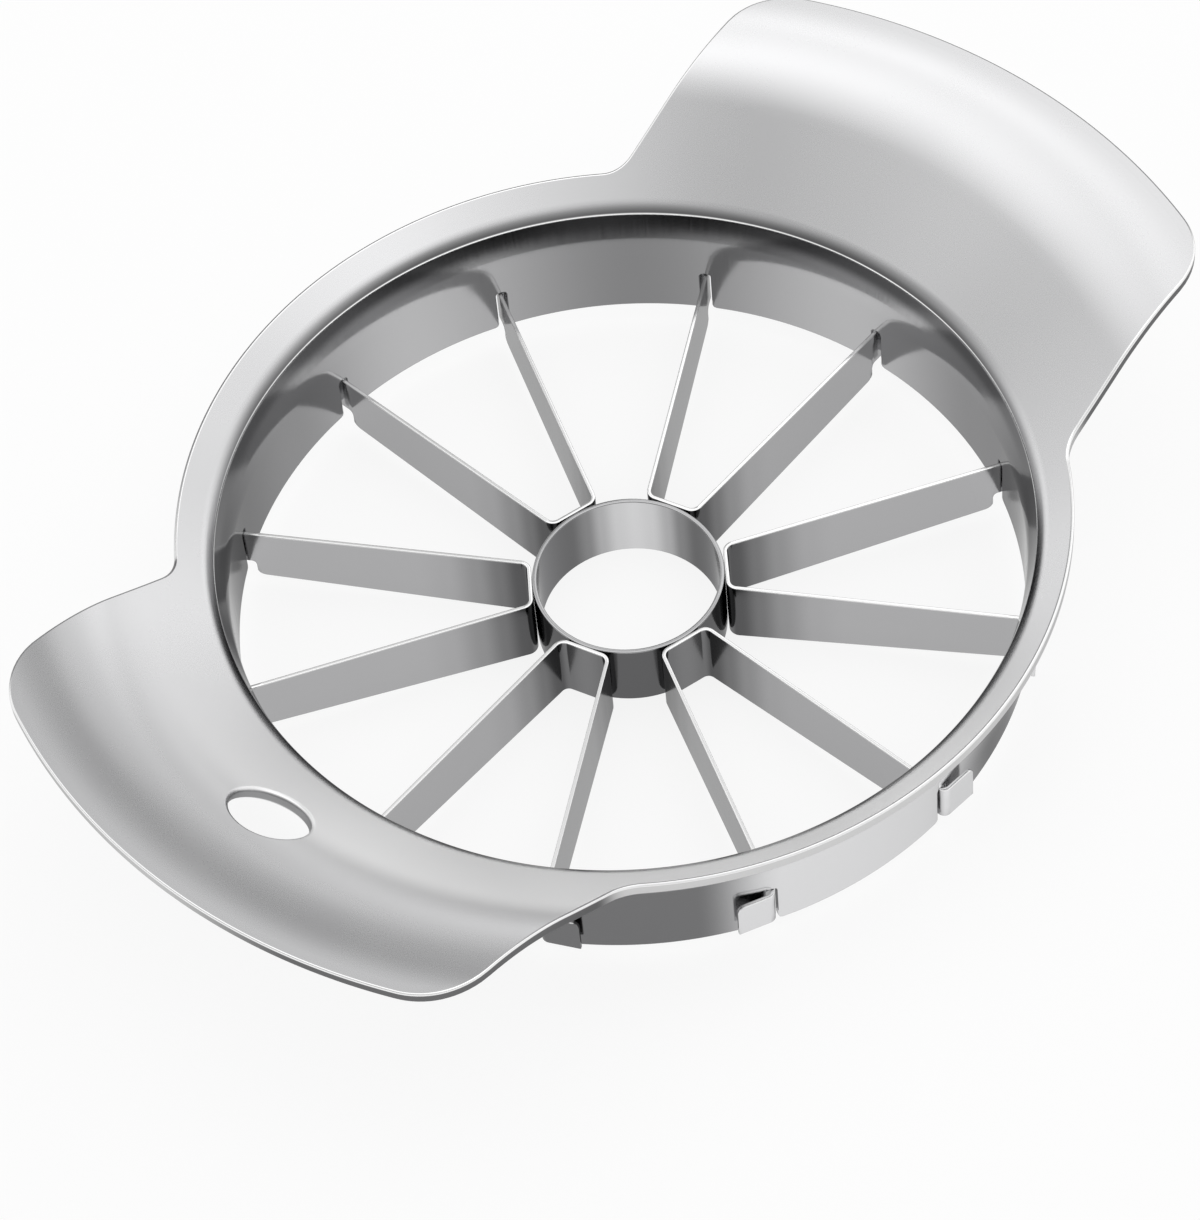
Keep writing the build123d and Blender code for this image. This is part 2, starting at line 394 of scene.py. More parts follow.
def makeSheet():
    turns, points, normals = sheetColumns()
    count, rows = points.shape[:2]

    # block of cells round the hanging hole, as columns and flange rows
    middle = int(np.argmin(abs(turns - 180)))
    wide = sheetSteps["holeColumns"]
    radii = np.hypot(points[middle, :, 0], points[middle, :, 1])
    fromHole = radii[firstFlange:firstEdge] - sheet["holeDistance"]
    low = firstFlange + int(np.argmin(abs(fromHole + sheet["holeBlock"])))
    high = firstFlange + int(np.argmin(abs(fromHole - sheet["holeBlock"])))
    cells = []
    for i in range(count):
        near = abs((i - middle + count // 2) % count - count // 2 + 0.5) < wide
        for j in range(rows):
            if not (near and (low <= j < high or underRow(high) <= j < underRow(low))):
                i2, j2 = (i + 1) % count, (j + 1) % rows
                cells.append((i * rows + j, i * rows + j2, i2 * rows + j2, i2 * rows + j))
    flatPoints = list(points.reshape(-1, 3))
    flatNormals = list(normals.reshape(-1, 3))

    # the block's rim above and below, with the hole's rings between them
    rim = [(middle - wide + k, low) for k in range(2 * wide)]
    rim += [(middle + wide, low + k) for k in range(high - low)]
    rim += [(middle + wide - k, high) for k in range(2 * wide)]
    rim += [(middle - wide, high - k) for k in range(high - low)]
    loops = [[i * rows + j for i, j in rim]]
    for ring in holeLadder([points[i, j] for i, j in rim]):
        loops.append(list(range(len(flatPoints), len(flatPoints) + len(ring))))
        flatPoints += [p for p, n in ring]
        flatNormals += [n for p, n in ring]
    loops.append([i * rows + underRow(j) for i, j in rim])
    for ringA, ringB in zip(loops, loops[1:]):
        for k in range(len(rim)):
            k2 = (k + 1) % len(rim)
            cells.append((ringA[k], ringB[k], ringB[k2], ringA[k2]))

    # drop the points inside the block and turn the faces outwards
    used = sorted({i for cell in cells for i in cell})
    place = {old: new for new, old in enumerate(used)}
    corners = np.array([flatPoints[i] for i in used]) * mm
    facing = np.array([flatNormals[i] for i in used])
    cells = [tuple(place[i] for i in cell) for cell in cells]
    a, b, c = (corners[[cell[k] for cell in cells]] for k in (0, 1, 2))
    if np.einsum("ij,ij->i", a, np.cross(b, c)).sum() < 0:
        cells = [cell[::-1] for cell in cells]
    mesh = bpy.data.meshes.new("pressedSheet")
    mesh.from_pydata([tuple(p) for p in corners], [], cells)
    mesh.polygons.foreach_set("use_smooth", [True] * len(mesh.polygons))
    mesh.update()
    mesh.normals_split_custom_set_from_vertices([tuple(n) for n in facing])

    # marks for the painted highlights and shade: crest, soft edge, sheared side and hole wall by rows, and
    # the way a point faces
    firstHoleRow = len(sheetSteps["holeShares"]) + sheetSteps["holeEdge"] // 2
    rowOf = np.array([i % rows if i < count * rows else -1 for i in used])
    ringOf = np.array([(i - count * rows) // len(rim) if i >= count * rows else -1 for i in used])
    marked = {
        "rimCrest": (rowOf, firstRim + 1, firstRim + sheetSteps["rim"]),
        "softEdge": (rowOf, firstEdge + 1, firstEdge + edgeSteps),
        "sheared": (rowOf, firstEdge + edgeSteps, firstEdge + edgeSteps + sheetSteps["side"]),
        "holeWall": (ringOf, firstHoleRow, firstHoleRow + sheetSteps["holeEdge"]),
    }
    marks = {name: ((kind >= first) & (kind < end)).astype(float)
             for name, (kind, first, end) in marked.items()}
    plan, flatFacing = corners[:, :2], facing[:, :2]
    marks["outward"] = np.einsum("ij,ij->i", flatFacing, plan) / np.linalg.norm(plan, axis=1)
    leastFlat = 0.01  # keeps a point that faces straight up from dividing by nothing
    flatSize = np.maximum(np.linalg.norm(flatFacing, axis=1), leastFlat)
    marks["nearSide"] = flatFacing @ sheet["nearSide"] / flatSize
    for name, values in marks.items():
        mesh.attributes.new(name, "FLOAT", "POINT").data.foreach_set("value", values)
    return linked("pressedSheet", mesh)


pressedSheet = makeSheet()
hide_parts("frame")
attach(pressedSheet, "root")
print("pressed sheet", len(pressedSheet.data.polygons), "faces")


# Blade strips, bent from flat
blade = {  # mm and degrees
    "count": 6, "firstTurn": 15.0, "thickness": 0.5,
    "webDistance": 12.58, "webWidth": 6.7, "webBend": 1.25, "legTurn": 13.9,
    "tabCorner": 52.15, "tabLength": 4.9, "tabTurn": 87.0, "tabBend": 0.8, "tabRound": 1.1,
    "top": 10.0, "heelRadius": 50.5, "heelSetback": 1.0, "heelRise": 1.7, "heelRound": 1.0,
    "tabBottom": 4.4, "nickRound": 0.6, "edgeRound": 0.09, "softenedAbove": 50,
    "firstStation": 0.6, "roundTurns": (0, 23, 45, 67), "nickTurns": (0, 30, 60),
    "steps": {"web": 2, "webBend": 9, "leg": 12, "heel": 3, "tabBend": 9, "tab": 3, "height": 3, "edge": 2,
              "path": 48},
}


def stripPlan():
    # the leg's length, and the lengths along the half path from above where something starts or ends
    turn, tabTurn = math.radians(blade["legTurn"]), math.radians(blade["tabTurn"])
    along = Vector((math.cos(turn), math.sin(turn)))
    webEnd = Vector((blade["webDistance"], blade["webWidth"] / 2))
    ahead, square = webEnd.dot(along), webEnd.dot(webEnd)
    reach = math.sqrt(ahead ** 2 - square + blade["tabCorner"] ** 2) - ahead
    heelReach = math.sqrt(ahead ** 2 - square + blade["heelRadius"] ** 2) - ahead
    webSetback = blade["webBend"] * math.tan((math.pi / 2 - turn) / 2)
    tabSetback = blade["tabBend"] * math.tan(tabTurn / 2)
    webStart = blade["webWidth"] / 2 - webSetback
    legStart = webStart + blade["webBend"] * (math.pi / 2 - turn)
    legEnd = legStart + reach - webSetback - tabSetback
    tabStart = legEnd + blade["tabBend"] * tabTurn
    marks = {
        "webStart": webStart, "legStart": legStart, "legEnd": legEnd, "tabStart": tabStart,
        "end": tabStart + blade["tabLength"] - tabSetback,
        "heel": legStart - webSetback + heelReach - blade["heelSetback"] / math.cos(turn),
    }
    return reach, marks


def stripBlank(name, marks):
    # the flat strip before bending: length along X, height along Z, with a grid that suits its bends
    heel, end, top = marks["heel"], marks["end"], blade["top"]
    heelRound, nick, tabRound = blade["heelRound"], blade["nickRound"], blade["tabRound"]
    heelTop = blade["tabBottom"] - nick
    steps = blade["steps"]

    def lowerEdge(at):
        start = marks["legStart"]
        rise = blade["heelRise"] * max(0.0, at - start) / (heel - start)
        if at > heel - heelRound:
            return rise + heelRound - math.sqrt(max(heelRound ** 2 - (at - heel + heelRound) ** 2, 0.0))
        return rise

    def tabEdge(at):
        if at < heel + nick:
            return heelTop + math.sqrt(max(nick ** 2 - (heel + nick - at) ** 2, 0.0))
        return blade["tabBottom"]

    def upperEdge(at):
        inside = at - (end - tabRound)
        return top - tabRound + math.sqrt(max(tabRound ** 2 - inside ** 2, 0.0)) if inside > 0 else top

    def evenly(first, last, count):
        return [first + (last - first) * i / count for i in range(count)]

    def roundedEnd(last, radius):
        return [last - radius + radius * math.sin(math.radians(t)) for t in blade["roundTurns"]]

    inner = [0.0] + evenly(blade["firstStation"], marks["webStart"], steps["web"])
    inner += evenly(marks["webStart"], marks["legStart"], steps["webBend"])
    inner += evenly(marks["legStart"], heel - heelRound, steps["leg"])
    inner += roundedEnd(heel, heelRound) + [heel]
    outer = [heel + nick - nick * math.cos(math.radians(t)) for t in blade["nickTurns"]]
    outer += evenly(heel + nick, marks["legEnd"], steps["heel"])
    outer += evenly(marks["legEnd"], marks["tabStart"], steps["tabBend"])
    outer += evenly(marks["tabStart"], end - tabRound, steps["tab"])
    outer += roundedEnd(end, tabRound) + [end]
    points, faces, place = [], [], {}

    def point(at, level, height):
        key = (round(at, 5), level)
        if key not in place:
            place[key] = len(points)
            points.append((at * mm, 0.0, height * mm))
        return place[key]

    def columnOf(at, sign, wholeHeight):
        low = tabEdge(abs(at)) if not wholeHeight else heelTop
        high = upperEdge(abs(at))
        rows = [point(at * sign, 0, lowerEdge(abs(at)))] if wholeHeight else []
        count = steps["height"]
        return rows + [point(at * sign, 1 + i, low + (high - low) * i / count) for i in range(count + 1)]

    for sign in (1, -1):
        for stations, wholeHeight in ((inner, True), (outer, False)):
            columns = [columnOf(at, sign, wholeHeight) for at in stations]
            for left, right in zip(columns, columns[1:]):
                for a, b, c, d in zip(left, right, right[1:], left[1:]):
                    faces.append((a, b, c, d) if sign > 0 else (d, c, b, a))
    mesh = bpy.data.meshes.new(name)
    mesh.from_pydata(points, [], faces)
    return linked(name, mesh)


def startGroup(name, inputs):
    # a Geometry Nodes group, the identifiers of its inputs, and its inputs as parts for rows
    tree = bpy.data.node_groups.new(name, "GeometryNodeTree")
    keys = {}
    for label, kind in inputs.items():
        socket = tree.interface.new_socket(name=label, in_out="INPUT", socket_type="NodeSocket" + kind)
        keys[label] = socket.identifier
    tree.interface.new_socket(name="Geometry", in_out="OUTPUT", socket_type="NodeSocketGeometry")
    given = addNode(tree, "NodeGroupInput").outputs
    return tree, keys, {label: given[label] for label in inputs}


def finishGroup(tree, geometry, parts):
    # plain geometry with its material is the group's result
    plain = addNode(tree, "GeometryNodeRealizeInstances", None, {"Geometry": geometry})
    finished = addNode(tree, "GeometryNodeSetMaterial", None,
                       {"Geometry": plain, "Material": parts["Material"]})
    addNode(tree, "NodeGroupOutput", None, {0: finished})


def addGroup(piece, tree, keys, values):
    modifier = piece.modifiers.new(tree.name, "NODES")
    modifier.node_group = tree
    for label, value in values.items():
        modifier[keys[label]] = value


def bendStripTree():
    # lays the flat strip along a filleted path, then turns it round the collar's axis
    numbers = ("Web Distance", "Web Width", "Web Bend", "Leg Turn", "Leg Length",
               "Tab Turn", "Tab Length", "Tab Bend", "Strip Turn")
    inputs = {"Geometry": "Geometry", **{name: "Float" for name in numbers}, "Material": "Material"}
    tree, keys, parts = startGroup("bendStrip", inputs)
    addRows(tree, parts, [
        ("halfWeb", "product", "Web Width", 0.5),
        ("webEnd", "vector", "Web Distance", "halfWeb"),
        ("legCosine", "cosine", "Leg Turn"), ("legSine", "sine", "Leg Turn"),
        ("legWay", "vector", "legCosine", "legSine"),
        ("leg", "scaled", "legWay", "Leg Length"),
        ("tabStart", "moved", "webEnd", "leg"),
        ("bothTurns", "sum", "Leg Turn", "Tab Turn"),
        ("tabCosine", "cosine", "bothTurns"), ("tabSine", "sine", "bothTurns"),
        ("tabWay", "vector", "tabCosine", "tabSine"),
        ("tab", "scaled", "tabWay", "Tab Length"),
        ("tabEnd", "moved", "tabStart", "tab"),
    ])
    half = ("webEnd", "tabStart", "tabEnd")
    addRows(tree, parts, [(name + "Across", "stretched", name, (1, -1, 1)) for name in half])
    corners = [parts[name + "Across"] for name in reversed(half)] + [parts[name] for name in half]
    parts["index"] = addNode(tree, "GeometryNodeInputIndex")
    choose = addNode(tree, "GeometryNodeIndexSwitch", {"data_type": "VECTOR"})
    while len(choose.index_switch_items) < len(corners):
        choose.index_switch_items.new()
    fillInputs(tree, choose, {"Index": parts["index"]})
    fillInputs(tree, choose, {str(number): corner for number, corner in enumerate(corners)})
    line = addNode(tree, "GeometryNodeMeshLine", {"mode": "OFFSET"}, {"Count": len(corners)})
    placed = addNode(tree, "GeometryNodeSetPosition", None, {"Geometry": line, "Position": choose})
    path = addNode(tree, "GeometryNodeMeshToCurve", None, {"Mesh": placed})

    # the two corners in the middle are the web's, and take its bend
    addRows(tree, parts, [("fromMiddle", "difference", "index", (len(corners) - 1) / 2),
                          ("apart", "size", "fromMiddle")])
    isWeb = addNode(tree, "FunctionNodeCompare", {"data_type": "FLOAT", "operation": "LESS_THAN"},
                    {"A": parts["apart"], "B": 1.0})
    radius = addNode(tree, "GeometryNodeSwitch", {"input_type": "FLOAT"},
                     {"Switch": isWeb, "False": parts["Tab Bend"], "True": parts["Web Bend"]})
    rounded = addNode(tree, "GeometryNodeFilletCurve", {"mode": "POLY"},
                      {"Curve": path, "Radius": radius, "Count": blade["steps"]["path"]})

    # a point's X is its length along the path, its Y the way out of the strip
    flatPlace = addNode(tree, "GeometryNodeInputPosition")
    flat = addNode(tree, "ShaderNodeSeparateXYZ", None, {0: flatPlace}).outputs
    parts.update({"along": flat["X"], "out": flat["Y"], "up": flat["Z"],
                  "whole": addNode(tree, "GeometryNodeCurveLength", None, {"Curve": rounded})})
    addRows(tree, parts, [("halfWhole", "product", "whole", 0.5), ("at", "sum", "along", "halfWhole")])
    sample = addNode(tree, "GeometryNodeSampleCurve", {"mode": "LENGTH", "use_all_curves": True},
                     {"Curves": rounded, "Length": parts["at"]}).outputs
    parts.update({"onPath": sample["Position"], "tangent": sample["Tangent"]})
    addRows(tree, parts, [
        ("square", "squareTo", (0, 0, 1), "tangent"),
        ("side", "unit", "square"),
        ("aside", "scaled", "side", "out"),
        ("height", "vector", 0.0, 0.0, "up"),
        ("inPlan", "moved", "onPath", "aside"),
        ("there", "moved", "inPlan", "height"),
        ("turn", "vector", 0.0, 0.0, "Strip Turn"),
    ])
    bent = addNode(tree, "GeometryNodeSetPosition", None,
                   {"Geometry": parts["Geometry"], "Position": parts["there"]})
    turned = addNode(tree, "GeometryNodeTransform", None, {"Geometry": bent, "Rotation": parts["turn"]})
    finishGroup(tree, turned, parts)
    return tree, keys


def makeStrip(number, tree, keys, material):
    name = f"bladeStrip_{number + 1}"
    legLength, marks = stripPlan()
    piece = stripBlank(name + "_blank", marks)
    solid = piece.modifiers.new("thickness", "SOLIDIFY")
    solid.thickness, solid.offset = blade["thickness"] * mm, 0.0
    soft = piece.modifiers.new("softEdges", "BEVEL")
    soft.width, soft.segments = blade["edgeRound"] * mm, blade["steps"]["edge"]
    soft.limit_method, soft.angle_limit = "ANGLE", math.radians(blade["softenedAbove"])
    soft.use_clamp_overlap = True
    addGroup(piece, tree, keys, {
        "Web Distance": blade["webDistance"] * mm, "Web Width": blade["webWidth"] * mm,
        "Web Bend": blade["webBend"] * mm, "Leg Turn": math.radians(blade["legTurn"]),
        "Leg Length": legLength * mm, "Tab Turn": math.radians(blade["tabTurn"]),
        "Tab Length": blade["tabLength"] * mm, "Tab Bend": blade["tabBend"] * mm,
        "Strip Turn": math.radians(blade["firstTurn"] + number * 360 / blade["count"]),
        "Material": material,
    })
    return smoothed(piece, name)


# Core ring
coreRing = {  # mm
    "outerRadius": 12.3, "wall": 0.6, "height": 10.0, "edgeRound": 0.14, "edgeSteps": 3, "sides": 128,
}


def sweptRingTree():
    # a rounded wall section swept round a circle
    inputs = {**{name: "Float" for name in ("Radius", "Wall", "Height", "Edge Round")},
              "Sides": "Int", "Material": "Material"}
    tree, keys, parts = startGroup("sweptRing", inputs)
    circle = addNode(tree, "GeometryNodeCurvePrimitiveCircle", None,
                     {"Resolution": parts["Sides"], "Radius": parts["Radius"]})
    section = addNode(tree, "GeometryNodeCurvePrimitiveQuadrilateral", None,
                      {"Width": parts["Wall"], "Height": parts["Height"]})
    softSection = addNode(tree, "GeometryNodeFilletCurve", {"mode": "POLY"},
                          {"Curve": section, "Radius": parts["Edge Round"], "Count": coreRing["edgeSteps"]})
    swept = addNode(tree, "GeometryNodeCurveToMesh", None, {"Curve": circle, "Profile Curve": softSection})
    addRows(tree, parts, [("halfHeight", "product", "Height", 0.5),
                          ("lift", "vector", 0.0, 0.0, "halfHeight")])
    lifted = addNode(tree, "GeometryNodeTransform", None, {"Geometry": swept, "Translation": parts["lift"]})
    finishGroup(tree, lifted, parts)
    return tree, keys


def makeCoreRing(material):
    piece = linked("coreRing", bpy.data.meshes.new("coreRing"))
    tree, keys = sweptRingTree()
    addGroup(piece, tree, keys, {
        "Radius": (coreRing["outerRadius"] - coreRing["wall"] / 2) * mm, "Wall": coreRing["wall"] * mm,
        "Height": coreRing["height"] * mm, "Edge Round": coreRing["edgeRound"] * mm,
        "Sides": coreRing["sides"], "Material": material,
    })
    return smoothed(piece, "coreRing")


# Steels
edgeTint = "CCCCCC"  # sRGB, what a steel mirrors at a grazing view
arcRadius = 50 * mm  # turns a direction round the axis into a length, for the fine lines
noiseShape = {"Detail": 2.0, "Roughness": 0.55}
noiseSpread = {"From Min": 0.3, "From Max": 0.7}  # the part of the noise that is used


def turnFrom(tree, turn, centre):
    # how far a direction is from another one, from 0 to 1 for half a turn
    parts = {"turn": turn}
    addRows(tree, parts, [
        ("apart", "difference", "turn", math.radians(centre)),
        ("cosine", "cosine", "apart"),
        ("angle", "arccosine", "cosine"),
        ("share", "quotient", "angle", math.pi),
    ])
    return parts["share"]


def startSteel(metal, look):
    # a metal, and the parts that its rows read: height and reach from the axis in mm, direction and colours
    material = bpy.data.materials.new(metal)
    material.use_nodes = True
    tree = material.node_tree
    shader = tree.nodes["Principled BSDF"]
    fillInputs(tree, shader, {"Metallic": 1.0, "Specular Tint": linearColor(edgeTint)})
    parts = {"place": addNode(tree, "ShaderNodeTexCoord").outputs["Object"]}
    addRows(tree, parts, [
        ("inMm", "scaled", "place", 1 / mm),
        ("inPlan", "stretched", "inMm", (1, 1, 0)),
        ("reach", "length", "inPlan"),
    ])
    split = addNode(tree, "ShaderNodeSeparateXYZ", None, {0: parts["inMm"]}).outputs
    parts.update({"x": split["X"], "y": split["Y"], "height": split["Z"]})
    addRows(tree, parts, [("turn", "direction", "y", "x")])
    parts.update({name: linearColor(colour) for name, colour in look["colours"].items()})
    for name, centre in look["directions"].items():
        parts[name] = turnFrom(tree, parts["turn"], centre)
    addRows(tree, parts, [(name, "fade", *limits) for name, limits in look["fades"].items()])
    return material, tree, shader, parts


def fillRamp(node, stops, interpolation):
    # stops are places from 0 to 1 and colours
    elements = node.color_ramp.elements
    while len(elements) < len(stops):
        elements.new(1.0)
    for element, (position, colour) in zip(elements, stops):
        element.position = position
        element.color = colour
    node.color_ramp.interpolation = interpolation
    return node


def colourRamp(tree, measure, stops, whole=1.0):
    # greys along a measure, with places given up to a whole
    return fillRamp(addNode(tree, "ShaderNodeValToRGB", None, {0: measure}),
                    [(position / whole, linearColor(colour)) for position, colour in stops], "EASE")


def addBands(tree, parts, bands):
    # noise of a real size in mm, spread between two values; the place that it reads is a part
    for name, (where, size, low, high) in bands.items():
        noise = addNode(tree, "ShaderNodeTexNoise", None,
                        {"Vector": parts[where], "Scale": 1 / (size * mm), **noiseShape})
        parts[name] = addNode(tree, "ShaderNodeMapRange", None,
                              {"Value": noise, **noiseSpread, "To Min": low, "To Max": high})


def addLines(tree, parts, across, along):
    # a place stretched round the axis and up, each by its own factor, so that noise there runs in lines
    addRows(tree, parts, [
        ("arc", "product", "turn", arcRadius * across),
        ("rise", "product", "height", along * mm),
        ("lines", "vector", "arc", "rise"),
    ])


# Satin-polished pressed stainless: an even soft sheen with a fine grain; its drawn wall has lines, and is
# greyer with painted shade and reflections; painted highlights and shade also lie on the flange, its edges
# and the rim
pressedLook = {  # sRGB colours, roughness and shares from 0 to 1, lengths in mm, directions in degrees
    "colours": {
        # baseNear and rimCrestColour are painted highlights, and shoulder is painted shade below the rim
        "base": "D4D4D5", "baseNear": "FCFCFC", "rimCrestColour": "FCFCFC", "shoulder": "767677",
        # holeWallColour is painted shade on the hole's wall, and lipDim is painted shade on the left lip; the
        # soft edge has a painted highlight near and painted shade far
        "holeWallColour": "9A9A9B", "lipDim": "C3C3C4", "softEdgeNear": "F6F6F6", "softEdgeFar": "828283",
        # the sheared side's two colours are painted shade and a painted highlight, and outerWallDark is
        # painted shade on the outer wall
        "paintedSideShade": "707071", "paintedSideHighlight": "DCDCDC", "outerWall": "E2E2E3", "outerWallDark": "767677",
        # leftWallTint is painted shade in the tint of the inner wall's left side
        "edgeTint": edgeTint, "leftWallTint": "787879",
    },
    "marks": ("outward", "holeWall", "rimCrest", "softEdge", "nearSide", "sheared"),
    "directions": {"fromInner": 40, "fromNear": -134, "fromLip": 180, "fromLeft": 165, "fromLeftWall": 158,
                   "fromDarkLeft": -138, "fromDarkRight": -76},
    "fades": {  # a measure, where the share is 0, and where it is 1
        # the fades below, except onFlange, place the painted highlights and shade
        "onFlange": ("reach", 51.75, 53.0), "onShoulder": ("height", 17.4, 19.2),
        "nearTurn": ("fromNear", 0.42, 0.18), "nearRim": ("reach", 70.0, 61.0),
        "leftLip": ("fromLip", 0.35, 0.2), "outerPart": ("reach", 60.0, 70.0),
        "leftTurn": ("fromLeft", 0.16, 0.07), "onRing": ("reach", 60.0, 56.5),
        "leftWall": ("fromLeftWall", 0.13, 0.05),
        "darkLeftTurn": ("fromDarkLeft", 0.115, 0.045), "darkLeftBelow": ("height", 17.0, 14.5),
        "darkRightTurn": ("fromDarkRight", 0.10, 0.01), "darkRightBelow": ("height", 18.0, 6.0),
    },
    # painted reflections and shade on the inner wall, by direction round the axis
    "innerWall": [(0.0, "868687"), (0.2, "BCBCBD"), (0.34, "979798"), (0.5, "6A6A6B"), (0.8, "9F9FA0")],
    "isOuter": (-0.2, 0.2), "facesNear": (-0.35, 0.15),
    "satin": 0.27, "drawn": 0.13, "nearRough": 0.22,
    "lineAcross": 1.0, "lineAlong": 0.03,
    "bands": {"grain": ("place", 0.35, -0.009, 0.009), "haze": ("place", 14.0, -0.012, 0.012),
              "drawLines": ("lines", 0.30, -0.02, 0.03)},
    "reliefStrength": 0.02, "reliefDepth": 0.02, "reliefGain": 20.0,
}


def makePressedSteel():
    look = pressedLook
    material, tree, shader, parts = startSteel("satinPolishedStainless", look)
    for name in look["marks"]:
        parts[name] = addNode(tree, "ShaderNodeAttribute", {"attribute_name": name}).outputs["Fac"]
    # the inner wall's painted reflections and shade, by direction
    parts["innerWall"] = colourRamp(tree, parts["fromInner"], look["innerWall"])
    addLines(tree, parts, look["lineAcross"], look["lineAlong"])
    addBands(tree, parts, look["bands"])
    addRows(tree, parts, [
        ("isOuter", "evenFade", "outward", *look["isOuter"]),
        ("facesNear", "fade", "nearSide", *look["facesNear"]),
        # the drawn wall: painted reflections and shade inside by direction, painted shade on its shoulder,
        # and two zones of painted shade outside
        ("darkLeft", "product", "darkLeftTurn", "darkLeftBelow"),
        ("darkRight", "product", "darkRightTurn", "darkRightBelow"),
        ("dark", "larger", "darkLeft", "darkRight"),
        ("outer", "blend", "dark", "outerWall", "outerWallDark"),
        ("inner", "blend", "onShoulder", "innerWall", "shoulder"),
        ("wall", "blend", "isOuter", "inner", "outer"),
        # the flange: a painted highlight near the rim's close side, painted shade on the left lip, and
        # painted shade on the hole's wall
        ("near", "product", "nearTurn", "nearRim"),
        ("flange", "blend", "near", "base", "baseNear"),
        ("lip", "product", "leftLip", "outerPart"),
        ("dimmed", "blend", "lip", "flange", "lipDim"),
        ("holed", "blend", "holeWall", "dimmed", "holeWallColour"),
        ("face", "blend", "onFlange", "wall", "holed"),
        # the outline's sheared side with painted shade and a painted highlight, its soft edge with a painted
        # highlight facing near and painted shade facing far, and a painted highlight on the rim's crest
        ("brightSide", "larger", "leftTurn", "onRing"),
        ("side", "blend", "brightSide", "paintedSideShade", "paintedSideHighlight"),
        ("cut", "blend", "sheared", "face", "side"),
        ("soft", "blend", "facesNear", "softEdgeFar", "softEdgeNear"),
        ("edged", "blend", "softEdge", "cut", "soft"),
        ("steel", "blend", "rimCrest", "edged", "rimCrestColour"),
        # painted shade: the inner wall's left side gets a darker tint at a grazing view
        ("notInner", "larger", "onFlange", "isOuter"),
        ("innerOnly", "difference", 1.0, "notInner"),
        ("leftInner", "product", "leftWall", "innerOnly"),
        ("grazing", "blend", "leftInner", "edgeTint", "leftWallTint"),
        # roughness of the flange and of the wall, and the grain's relief
        ("grainHaze", "sum", "grain", "haze"),
        ("nearRough", "product", "near", look["nearRough"]),
        ("nearSatin", "sum", "nearRough", look["satin"]),
        ("satin", "sum", "grainHaze", "nearSatin"),
        ("drawn", "sum", "drawLines", look["drawn"]),
        ("finish", "mixedValue", "onFlange", "drawn", "satin"),
        ("grainHeight", "product", "grain", look["reliefGain"]),
        ("relief", "relief", look["reliefStrength"], look["reliefDepth"] * mm, "grainHeight"),
    ])
    fillInputs(tree, shader, {"Base Color": parts["steel"], "Specular Tint": parts["grazing"],
                              "Roughness": parts["finish"], "Normal": parts["relief"]})
    return material


# Cold-rolled stainless strip: fine lines along its length and a slightly brighter sheen; painted shade
# darkens it towards the core and on one tab, with painted light outside the collar and a painted highlight
# along the top edge
stripLook = {  # in the units of pressedLook
    # painted: a highlight along the top edge, and shade on one tab
    "colours": {"paintedTopHighlight": "F4F4F4", "tabDark": "767677"},
    "directions": {"fromTab": -148},
    "fades": {"darkTurn": ("fromTab", 0.09, 0.05)},
    # painted shade, darker towards the core, and painted light beyond the collar's wall
    "byReach": [(12.5, "8C8C8D"), (13.1, "747475"), (13.7, "5A5A5B"), (14.6, "5C5C5D"),
                (17.0, "7A7A7B"), (20.0, "969697"), (24.0, "ABABAC"), (28.0, "B0B0B1"),
                (51.4, "B0B0B1"), (52.2, "E2E2E3")],
    "outsideFrom": 51.2, "edgeBelowTop": (0.16, 0.08), "rolled": 0.16,
    "lineAcross": 0.04, "lineAlong": 1.0,
    "bands": {"rollLines": ("lines", 0.22, -0.03, 0.03), "haze": ("place", 6.0, -0.015, 0.015)},
    "reliefStrength": 0.04, "reliefDepth": 0.01, "reliefGain": 15.0,
}


def makeStripSteel():
    look = stripLook
    material, tree, shader, parts = startSteel("coldRolledStainlessStrip", look)
    addRows(tree, parts, [("reachShare", "quotient", "reach", sheet["ringRadius"])])
    # painted shade towards the core and painted light outside the collar, by reach
    parts["byReach"] = colourRamp(tree, parts["reachShare"], look["byReach"], sheet["ringRadius"])
    addLines(tree, parts, look["lineAcross"], look["lineAlong"])
    addBands(tree, parts, look["bands"])
    addRows(tree, parts, [
        # painted shade on one tab outside the collar, and a painted highlight along the top edge
        ("outside", "isAbove", "reach", look["outsideFrom"]),
        ("darkTab", "product", "darkTurn", "outside"),
        ("face", "blend", "darkTab", "byReach", "tabDark"),
        ("onEdge", "evenFade", "height", *(blade["top"] - below for below in look["edgeBelowTop"])),
        ("strip", "blend", "onEdge", "face", "paintedTopHighlight"),
        ("lineHaze", "sum", "rollLines", "haze"),
        ("finish", "sum", "lineHaze", look["rolled"]),
        ("lineHeight", "product", "rollLines", look["reliefGain"]),
        ("relief", "relief", look["reliefStrength"], look["reliefDepth"] * mm, "lineHeight"),
    ])
    fillInputs(tree, shader, {"Base Color": parts["strip"], "Roughness": parts["finish"],
                              "Normal": parts["relief"]})
    return material


